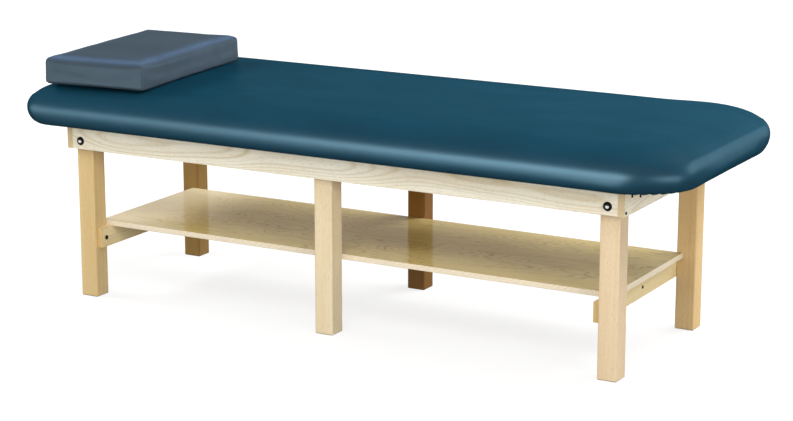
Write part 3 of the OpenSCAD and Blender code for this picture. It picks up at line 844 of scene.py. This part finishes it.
def follow(piece, before, moves, reach, neighbours=10):
    """Moves a fine mesh as the coarse one moved: each point by the shares of its neighbours."""
    tree = KDTree(len(before))
    for index, place in enumerate(before):
        tree.insert(place, index)
    tree.balance()
    for vertex in piece.data.vertices:
        near = tree.find_n(vertex.co, neighbours)
        shares = [math.exp(-((gap / reach) ** 2)) for _, _, gap in near]
        step = sum((moves[i] * share for (_, i, _), share in zip(near, shares)), Vector((0, 0, 0)))
        vertex.co += step / sum(shares)


waist_z = pad_low.z + pad_waist
edge_in = pad_bottom_in + pad_turned_under


def pad_shell(name, step, flap, lower, upper):
    """The top's skin, from the turned edge to the crown, and how far each point is held to the deck."""
    section = [(edge_in - pad_turned_under * i / flap, pad_low.z) for i in range(flap + 1)]
    section += quarter(section[-1], (0, waist_z), "flat", lower)
    section += quarter(section[-1], (pad_top_in, pad_high.z - pad_crown), "steep", upper)
    body = bmesh.new()
    rings = loft(body, [
        pad_ring(inset + pad_slack * (k > flap), z - pad_slack * (k > flap + lower + upper / 3), step)
        for k, (inset, z) in enumerate(section)
    ])
    foot_steps, head_steps, foot_side, _, long_side = pad_counts(step)
    fill(body, rings[-1], 2 * foot_steps + foot_side, foot_steps + long_side + head_steps, pad_crown)
    bmesh.ops.recalc_face_normals(body, faces=body.faces)
    body.verts.index_update()
    if max(body.faces, key=lambda f: f.calc_center_median().z).normal.z < 0:
        bmesh.ops.reverse_faces(body, faces=body.faces)
    held = {}
    for k, ring in enumerate(rings[:flap + lower]):
        held.update({vertex.index: min(1, 1 - (k - flap) / lower) for vertex in ring})
    return shaped(name, body), held


pad, _ = pad_shell("padded_top", pad_step, *pad_rings)
coarse, held = pad_shell("pad_shape", pad_cloth_step, *pad_cloth_rings)
follow(pad, *settle(coarse, held, pad_settle), pad_cloth_step)


# Where the pillow lies the top is pressed flat, and the turned edge is gathered into small
# pleats round the corners, where there is more vinyl than outline.
pillow_low, pillow_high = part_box("pillow_cover")
pillow_middle = (pillow_low + pillow_high) / 2
pillow_turn = math.radians(5)
pillow_along = 0.322
pillow_across = 0.560
press_reach = 0.03
press_gap = 0.0004
pleat_deep = 0.0032
pleat_apart = 0.016
pleat_sunk = 0.3
pleat_top = waist_z - 0.030
pleat_fade = 0.018


def on_pillow(x, y, z):
    """A place on the pillow, from its middle and its underside, in the frame."""
    cos, sin = math.cos(pillow_turn), math.sin(pillow_turn)
    x, y = x * cos - y * sin, x * sin + y * cos
    return Vector((pillow_middle.x + x, pillow_middle.y + y, pillow_low.z + z))


def from_pillow(place):
    """The way from the pillow's middle and underside to a place in the frame, as the pillow has it."""
    cos, sin = math.cos(pillow_turn), math.sin(pillow_turn)
    x, y = place.x - pillow_middle.x, place.y - pillow_middle.y
    return Vector((x * cos + y * sin, y * cos - x * sin, place.z - pillow_low.z))


for vertex in pad.data.vertices:
    co = vertex.co
    here = from_pillow(co)
    under = abs(here.x) < pillow_along / 2 and abs(here.y) < pillow_across / 2
    if under and here.z > -press_reach:
        co.z = min(co.z, pillow_low.z - press_gap)
    co.z = min(co.z, pad_high.z)
    if co.z < waist_z:
        for end, (long, wide) in ((1, foot_corner), (-1, head_corner)):
            x, y = end * co.x - (pad_high.x - long), abs(co.y) - (pad_high.y - wide)
            if x > 0 and y > 0:
                turn = math.atan2(y * long, x * wide)
                fade = math.sin(2 * turn) * min(1, max(0, (pleat_top - co.z) / pleat_fade))
                wave = abs(math.sin(turn * (long + wide) / 2 / pleat_apart * math.pi / 2))
                co.z += pleat_deep * fade * (wave ** 3 - pleat_sunk)
wall = pad.modifiers.new("wall", "SOLIDIFY")
wall.thickness = vinyl_t
wall.offset = -1
pad.data = worked_out(pad)
pad.modifiers.clear()
pad.data.shade_smooth()

vinyl_cloud = (0.22, 0.10, 0.08)
vinyl_handled = (0.035, 0.030, 0.025)
vinyl_crease = (0.0022, 0.0040, 0.0022)


def vinyl(name, base, pale, deep, seed, gloss, fade, painted_highlight=None):
    """Supported vinyl with a fine pebbled grain and a satin sheen that fades at a low angle.

    Where a highlight colour is given, it is painted in by each point's own share: a painted highlight
    along the edges."""
    finish = Finish(name)
    warp = finish.mottle(0.004, 2.0, seed, "Color")
    place = finish.node("ShaderNodeVectorMath", {"operation": "SCALE"}, {0: warp, "Scale": 0.0012})
    place = finish.node("ShaderNodeVectorMath", {"operation": "ADD"}, {0: place, 1: finish.place})
    pebbles = finish.node(
        "ShaderNodeTexVoronoi", {"feature": "SMOOTH_F1"},
        {"Vector": place, "Scale": 800.0, "Smoothness": 0.4},
    )
    cloud = finish.mottle(vinyl_cloud, 2.0, seed)
    handled = finish.mottle(vinyl_handled, 3.0, seed + 2)
    creases = finish.mottle(vinyl_crease, 2.0, seed + 5)
    tone = finish.blend((cloud - 0.40) * 1.4, base, pale)
    tone = finish.blend((handled - 0.45) * 0.55, tone, deep)
    tone = finish.blend(pebbles * 0.35, tone, deep)
    # Painted highlight: the pillow's top edges are painted paler and bluer, as if catching the light.
    if painted_highlight:
        edge_highlight = finish.node("ShaderNodeAttribute", {"attribute_name": "edge_highlight"}, output="Fac")
        tone = finish.blend(edge_highlight * (0.35 + cloud * 0.6), tone, painted_highlight)
    return finish.surface({
        "Base Color": tone,
        "Roughness": 0.62,
        "Specular IOR Level": 0.0,
        "Coat Weight": finish.gloss(gloss, fade),
        "Coat Roughness": 0.38,
        "Coat IOR": 1.6,
        "Normal": finish.bump(pebbles * -1.0 + creases * 0.6 + handled * 1.5, depth=0.00016),
    })


pad.data.materials.clear()
pad.data.materials.append(vinyl(
    "pad_vinyl", colour(15, 53, 69), colour(20, 62, 81), colour(11, 44, 57),
    seed=2.4, gloss=0.18, fade=1.5,
))
vinyl_pieces.objects.link(pad)
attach(pad, "table")
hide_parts("pad_cover", "pad_foam")


# Staples: wire staples shot up through the turned edge of the vinyl into the deck, side by
# side all the way round, a little askew.
staple_wide = 0.0105
staple_wire = 0.0006
staple_leg = 3 * staple_wire
staple_sunk = 0.4 * staple_wire
staple_apart = 0.024
staple_askew = 0.22
staple_in = edge_in - 0.012

along_path = Pattern("set_along_a_path")
line = along_path.node("GeometryNodeMeshToCurve", {}, {"Mesh": along_path.given})
length = along_path.given.other("Spacing")
line = along_path.node("GeometryNodeResampleCurve", {"mode": "LENGTH"}, {"Curve": line, "Length": length})
run = along_path.node("GeometryNodeInputTangent")
first = along_path.node("FunctionNodeAlignRotationToVector", {"axis": "X"}, {"Vector": run})
along_path.copies(line, first)


def bent_wire(name, path, radius):
    """A wire of six sides through some points, as a mesh."""
    curve = bpy.data.curves.new(name, "CURVE")
    curve.dimensions = "3D"
    curve.bevel_depth = radius
    curve.bevel_resolution = 1
    curve.use_fill_caps = True
    spline = curve.splines.new("POLY")
    spline.points.add(len(path) - 1)
    for point, place in zip(spline.points, path):
        point.co = (*place, 1)
    wire = placed(name, curve)
    made = placed(name + "_mesh", worked_out(wire))
    bpy.data.objects.remove(wire)
    return made


def path_mesh(name, places, closed=False):
    """A mesh of points joined by edges, one after another."""
    mesh = bpy.data.meshes.new(name)
    count = len(places)
    mesh.from_pydata(places, [(i, (i + 1) % count) for i in range(count if closed else count - 1)], [])
    return mesh


half = staple_wide / 2
bend = half * 0.86
staple = bent_wire("staple", [
    (-half, 0, staple_leg), (-half, 0, staple_wire), (-bend, 0, 0),
    (bend, 0, 0), (half, 0, staple_wire), (half, 0, staple_leg),
], staple_wire)
row = path_mesh("staple_row", pad_ring(staple_in, pad_low.z - staple_sunk, pad_step), closed=True)
staples = grow(
    "cover_staples", row, along_path,
    Shape=staple, Finish=zinc_steel, Spacing=staple_apart, Turn=staple_askew, Seed=4,
)
bpy.data.objects.remove(staple)
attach(staples, "table")


# Pillow: a foam block in a sewn vinyl cover, with a seam up each corner, one round the lower
# edge and a zip in the side at the head end. The seams pull the top's corners to points, and
# its edges round over softly between them. It lies loose on the top.
pillow_corner = 0.011
pillow_bottom_r = 0.008
pillow_bottom_insets = (0.030, 0.017, pillow_bottom_r)
pillow_top_r = 0.018
pillow_point_r = 0.012
pillow_point_reach = 0.030
pillow_crown = 0.006
pillow_pull = 0.001
pillow_slack = 0.002
pillow_settle = 0.0015
pillow_held_below = pillow_low.z + 0.002
pillow_height = pillow_high.z - pillow_low.z
pillow_cloth_step = 0.012
pillow_step = pillow_cloth_step * 0.7
seam_angles = (0, 3, 6, 10, 15, 22, 32)
zip_z = pillow_height / 2
zip_half = 0.190
zip_rings = [i * 0.001 for i in range(-6, 7)]
# Where the painted highlight along the pillow's top edges lies, and how fast it fades below and above.
edge_highlight_inset = 0.010
edge_highlight_below = 0.013
edge_highlight_above = 0.022
side_deep = 0.012
under_arch = 0.0035
arch_reach = 0.030
skin_wave = 0.0006
skin_waves = 14
skin_wave_from = (0.004, 0.03)
seam_reach = 0.034
seam_foot = (0.002, 0.005)
seam_head = (0.050, 0.068)
gather_waves = Vector((60, 60, 210))
hem_above = 0.0005
# Grooves and rolls along the seams: how deep, how far from the seam's line, and how wide
seam_groove = (0.0015, 0, 0.0012)
seam_roll = (0.0006, 0.0036, 0.0020)
seam_gather = (0.0009, 0, 0.010)
hem_groove = (0.0011, 0.0035, 0.0010)
zip_groove = (0.0024, 0, 0.0022)
zip_roll = (0.0005, 0.0046, 0.0016)


def bell(distance, width):
    """1 at no distance, falling smoothly to nothing over about twice the width."""
    return math.exp(-((distance / width) ** 2))


def ridge(distance, shape):
    """Height of a groove or roll at a distance from its seam."""
    deep, off_line, wide = shape
    return deep * bell(distance - off_line, wide)


def ramp_up(value, low, high):
    """0 below low, 1 above high, and smooth between them."""
    share = min(1, max(0, (value - low) / (high - low)))
    return share * share * (3 - 2 * share)


def pillow_ring(inset, angles, along_steps, across_steps):
    """Outline of the pillow from one corner's seam round, drawn in, and how near each point is to a seam.

    The sides are pulled in a little between the corners."""
    x, y = pillow_along / 2 - inset - pillow_corner, pillow_across / 2 - inset - pillow_corner
    ring = []
    for start, centre, length, steps in (
        (0, (x, y), 2 * x, along_steps), (90, (-x, y), 2 * y, across_steps),
        (180, (-x, -y), 2 * x, along_steps), (270, (x, -y), 2 * y, across_steps),
    ):
        for a in angles:
            way = (math.cos(math.radians(start + a)), math.sin(math.radians(start + a)))
            ring.append((centre[0] + pillow_corner * way[0], centre[1] + pillow_corner * way[1], 1.0))
        corner = ring[-1]
        back = (-math.cos(math.radians(start)), -math.sin(math.radians(start)))
        for i in range(1, steps):
            s = i / steps
            run, pull = length * s, pillow_pull * math.sin(math.pi * s)
            ring.append((
                corner[0] + back[0] * run + back[1] * pull,
                corner[1] + back[1] * run - back[0] * pull,
                bell(length * min(s, 1 - s), pillow_point_reach),
            ))
    seam = angles.index(45)
    return ring[seam:] + ring[:seam]


def pillow_section(point, lower, close, upper):
    """From the underside to the top: inset and height. point is 1 at a corner and 0 mid-side."""
    top_r = pillow_top_r + (pillow_point_r - pillow_top_r) * point
    edge_z = pillow_height - pillow_crown
    places = [(inset, 0) for inset in pillow_bottom_insets]
    places += quarter(places[-1], (0, pillow_bottom_r), "flat", lower)
    near_zip = [zip_z + z for z in close]
    gap = (near_zip[0] - pillow_bottom_r) / lower
    heights = [pillow_bottom_r + gap * i for i in range(1, lower)] + near_zip
    rest = edge_z - top_r - near_zip[-1]
    heights += [near_zip[-1] + rest * share for share in (0.35, 0.7, 1)]
    places += [(0, z) for z in heights]
    return places + quarter(places[-1], (top_r, edge_z), "steep", upper)


def pillow_shell(name, angles, step, *steps):
    """The closed skin of the pillow, drawn in a little, because settling swells it."""
    counts = (round(pillow_along / step), round(pillow_across / step))
    outer, inner = [
        pillow_ring(inset, angles, *counts) for inset in (pillow_slack, pillow_slack + pillow_top_r)
    ]
    stacks = []
    for (x, y, point), (x_in, y_in, _) in zip(outer, inner):
        stacks.append([
            on_pillow(
                x + (x_in - x) * inset / pillow_top_r, y + (y_in - y) * inset / pillow_top_r,
                z * (1 - pillow_slack / pillow_height),
            )
            for inset, z in pillow_section(point, *steps)
        ])
    body = bmesh.new()
    rings = loft(body, list(zip(*stacks)))
    short, long = [count + len(angles) - 1 for count in counts]
    fill(body, rings[-1], short, long, pillow_crown)
    fill(body, rings[0], short, long, 0)
    bmesh.ops.recalc_face_normals(body, faces=body.faces)
    return shaped(name, body)


fine_angles = [0] + [45 - a for a in seam_angles[::-1]] + [45 + a for a in seam_angles[1:]] + [90]
pillow = pillow_shell("pillow", fine_angles, pillow_step, 8, zip_rings, 12)
foam = pillow_shell("foam_shape", [0, 45, 90], pillow_cloth_step, 2, [0], 3)
resting = {v.index: 1.0 for v in foam.data.vertices if v.co.z < pillow_held_below}
follow(pillow, *settle(foam, resting, pillow_settle), pillow_cloth_step)


def edge_highlight_share(place):
    """Share of the painted highlight: most just inside the top's edges, fading both ways."""
    here = from_pillow(place)
    inset = min(pillow_along / 2 - abs(here.x), pillow_across / 2 - abs(here.y))
    past = inset - (pillow_height - here.z) - edge_highlight_inset
    return bell(past, edge_highlight_below if past < 0 else edge_highlight_above)


pillow.data.update()
ways = [v.normal.copy() for v in pillow.data.vertices]
for vertex, way in zip(pillow.data.vertices, ways):
    here = from_pillow(vertex.co)
    x_gap, y_gap = abs(here.x) - pillow_along / 2, abs(here.y) - pillow_across / 2
    push = skin_wave * noise(here * skin_waves) * ramp_up(here.z, *skin_wave_from)
    if min(x_gap, y_gap) > -seam_reach:
        d = abs(x_gap - y_gap) / math.sqrt(2)
        tall = ramp_up(here.z, *seam_foot) * (1 - ramp_up(here.z, *seam_head))
        crinkle = noise(here * gather_waves)
        push += (ridge(d, seam_roll) - ridge(d, seam_groove) + ridge(d, seam_gather) * crinkle) * tall
    if here.z > hem_above:
        push -= ridge(here.z, hem_groove)
    if x_gap > -side_deep and here.x < 0:
        level = abs(here.z - zip_z)
        shut = 1 - ramp_up(abs(here.y), zip_half - 0.006, zip_half + 0.003)
        push += (ridge(level, zip_roll) - ridge(level, zip_groove)) * shut
    vertex.co += way * push
    side = max(x_gap, y_gap)
    if side > -side_deep:
        run, length = (here.x, pillow_along) if y_gap > x_gap else (here.y, pillow_across)
        arch = under_arch * max(0, 1 - (2 * abs(run) / length) ** 2)
        arch *= 1 - ramp_up(here.z, 0.0, arch_reach)
        vertex.co.z += arch * ramp_up(side, -side_deep, -side_deep / 2)
    vertex.co.z = max(vertex.co.z, pillow_low.z)
pillow.data.shade_smooth()
pillow.data.update()
# Painted highlight: each point's share of the paler edge colour, kept on the mesh.
edge_highlight = pillow.data.attributes.new("edge_highlight", "FLOAT", "POINT")
edge_highlight.data.foreach_set("value", [edge_highlight_share(v.co) for v in pillow.data.vertices])
pillow.data.materials.append(vinyl(
    "pillow_vinyl", colour(58, 69, 79), colour(65, 77, 88), colour(48, 57, 66),
    seed=8.8, gloss=0.04, fade=0.5, painted_highlight=colour(73, 93, 119),
))
vinyl_pieces.objects.link(pillow)
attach(pillow, "pillow")
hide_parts("pillow_cover", "pillow_foam")


# Zip: a nylon coil between two turned edges of vinyl, each with a row of top stitches, and a
# slider with its pull hanging down. Wire sizes are half thicknesses.
tooth_wire = 0.00042
tooth_path = [(0, 0, -0.0011), (0, -0.0004, 0), (0, 0, 0.0011)]
tooth_apart = 0.0013
stitch_wire = 0.00028
stitch_path = [(-0.0013, 0, 0), (-0.0008, 0, 0), (0.0008, 0, 0), (0.0013, 0, 0)]
stitch_apart = 0.0034
stitch_off = 0.0068
slider_y = 0.030 - zip_half
slider_out = 0.0016
# Middle and size of the slider's body, its bridge and its pull
slider_parts = (
    ((0, 0, 0), (0.0040, 0.0095, 0.0078)),
    ((-0.0026, 0, 0.0004), (0.0024, 0.0028, 0.0036)),
    ((-0.0032, 0, -0.0110), (0.0010, 0.0046, 0.0210)),
)
beside_pillow = -pillow_along / 2 - 0.02
zip_coil = metal("zip_coil", colour(58, 68, 80), 0.42, 0.00001, 12.0, metallic=0.0)
thread = metal("thread", colour(60, 72, 86), 0.70, 0.00003, 15.0, metallic=0.0)
nickel = metal("nickel", colour(128, 129, 132), 0.30, 0.00001, 18.0)
skin = BVHTree.FromObject(pillow, bpy.context.evaluated_depsgraph_get())
inwards = (on_pillow(1, 0, 0) - on_pillow(0, 0, 0)).normalized()


def on_zip_side(y, height, out):
    """A place a little out of the skin of the side with the zip."""
    return skin.ray_cast(on_pillow(beside_pillow, y, height), inwards)[0] - inwards * out


def down_zip_side(name, height, reach, out, steps=90):
    """A line along the side with the zip, at a height, as a mesh of points and edges."""
    ys = [reach * (2 * i / steps - 1) for i in range(steps + 1)]
    return path_mesh(name, [on_zip_side(y, height, out) for y in ys])


tooth = bent_wire("tooth", tooth_path, tooth_wire)
coil = grow(
    "zip_coil", down_zip_side("zip_line", zip_z, zip_half - 0.006, 0.0006), along_path,
    Shape=tooth, Finish=zip_coil, Spacing=tooth_apart, Turn=0.0, Seed=2,
)
bpy.data.objects.remove(tooth)
stitch = bent_wire("stitch", stitch_path, stitch_wire)
pieces = [coil]
for name, height in (("upper_stitches", zip_z + stitch_off), ("lower_stitches", zip_z - stitch_off)):
    pieces.append(grow(
        name, down_zip_side(name + "_line", height, zip_half + 0.002, 0.0001), along_path,
        Shape=stitch, Finish=thread, Spacing=stitch_apart, Turn=0.08, Seed=3,
    ))
bpy.data.objects.remove(stitch)

body = bmesh.new()
for middle, size in slider_parts:
    box = bmesh.ops.create_cube(body, size=1)["verts"]
    bmesh.ops.scale(body, vec=size, verts=box)
    bmesh.ops.translate(body, vec=middle, verts=box)
bmesh.ops.bevel(body, geom=body.edges[:], offset=0.0005, segments=2, affect="EDGES")
bmesh.ops.rotate(body, verts=body.verts, matrix=Matrix.Rotation(pillow_turn, 3, "Z"))
bmesh.ops.translate(body, vec=on_zip_side(slider_y, zip_z, slider_out), verts=body.verts)
slider = shaped("zip_slider", body)
slider.data.materials.append(nickel)
pieces.append(slider)
for piece in pieces:
    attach(piece, "pillow")
